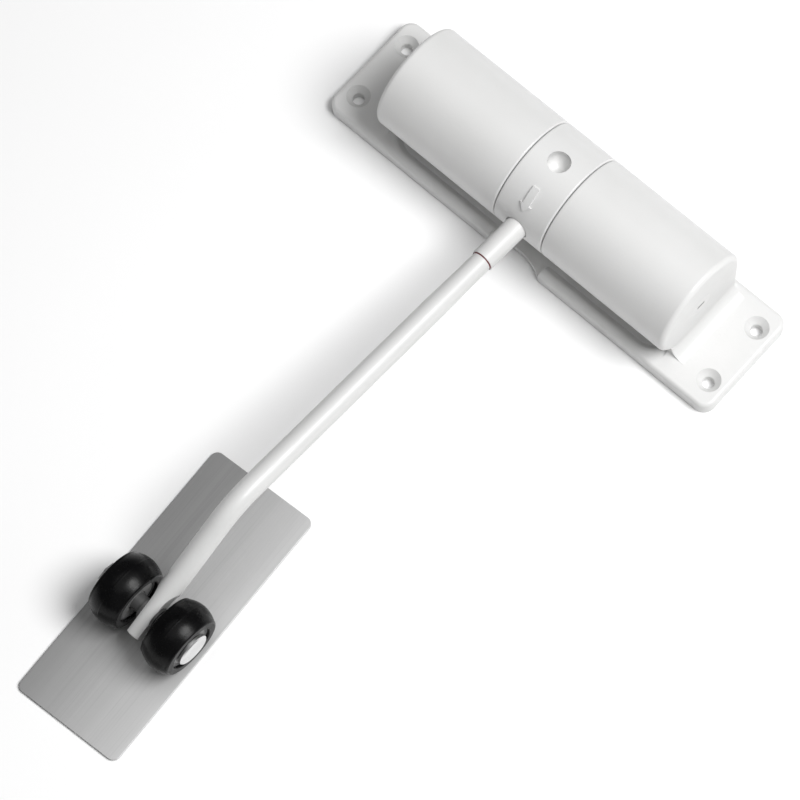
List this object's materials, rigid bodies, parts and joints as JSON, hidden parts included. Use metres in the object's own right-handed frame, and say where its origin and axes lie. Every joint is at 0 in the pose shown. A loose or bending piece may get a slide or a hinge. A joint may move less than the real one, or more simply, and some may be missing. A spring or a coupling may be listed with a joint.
{
  "type": "spring door closer",
  "caption": "White surface-mounted spring door closer: cylinder on a long base, bent arm with twin rubber rollers on a steel strike plate.",
  "frame": {"origin": "middle of the base's flat mounting face", "axes": "+X along the cylinder, -Y towards the arm and strike plate, +Z away from the mounting surface"},
  "size_m": [0.1902, 0.2933, 0.0499],
  "materials": {
    "casting_paint": "satin white paint",
    "shell_paint": "satin white paint",
    "collar_paint": "satin white paint",
    "arm_paint": "gloss white paint",
    "ring_red": "dark red lacquer",
    "spring_steel": "oiled spring steel",
    "bright_steel": "zinc plated",
    "bearing_steel": "polished",
    "bronze": "sintered bronze",
    "nylon": "natural nylon",
    "tyre_rubber": "smooth black rubber",
    "core_plastic": "dark grey moulded plastic",
    "plate_steel": "grained along its length",
    "pad_foam": "white adhesive tape"
  },
  "bodies": {
    "base": {"base_plate": "casting_paint", "left_shell": "shell_paint", "right_shell": "shell_paint", "spindle": "bright_steel", "spindle_plug": "casting_paint", "spacer_tubes": "nylon", "left_spring": "spring_steel", "right_spring": "spring_steel"},
    "arm": {"collar": "collar_paint", "collar_bushings": "bronze", "arm_sleeve": "arm_paint", "index_ring": "ring_red", "arm_rod": "arm_paint", "axle": "bright_steel", "axle_nut": "bright_steel", "nut_washer": "bright_steel", "left_washer": "bright_steel", "right_washer": "bright_steel", "axle_spacers": "bright_steel", "inner_races": "bearing_steel"},
    "left_roller": {"left_tyre": "tyre_rubber", "left_core": "core_plastic", "left_outer_race": "bearing_steel", "left_balls": "bearing_steel"},
    "right_roller": {"right_tyre": "tyre_rubber", "right_core": "core_plastic", "right_outer_race": "bearing_steel", "right_balls": "bearing_steel"},
    "strike": {"strike_plate": "plate_steel", "adhesive_pad": "pad_foam"}
  },
  "joints": [
    {"name": "arm_swing", "type": "hinge", "parent": "base", "child": "arm", "pos_m": [0, 0, 0.02775], "axis": [-1, 0, 0], "range_deg": [0, 110], "stiffness_Nm_per_rad": 0.9, "springref_deg": -68.75},
    {"name": "left_roller_spin", "type": "hinge", "parent": "arm", "child": "left_roller", "pos_m": [-0.01656, -0.2184, 0.0161], "axis": [0.9999, -0.0154, 0], "continuous": true},
    {"name": "right_roller_spin", "type": "hinge", "parent": "arm", "child": "right_roller", "pos_m": [0.00984, -0.2188, 0.0161], "axis": [0.9999, -0.0154, 0], "continuous": true},
    {"name": "strike_travel", "type": "slide", "parent": "base", "child": "strike", "axis": [0.0638, -0.998, 0], "range_m": [-0.045, 0.045]}
  ]
}
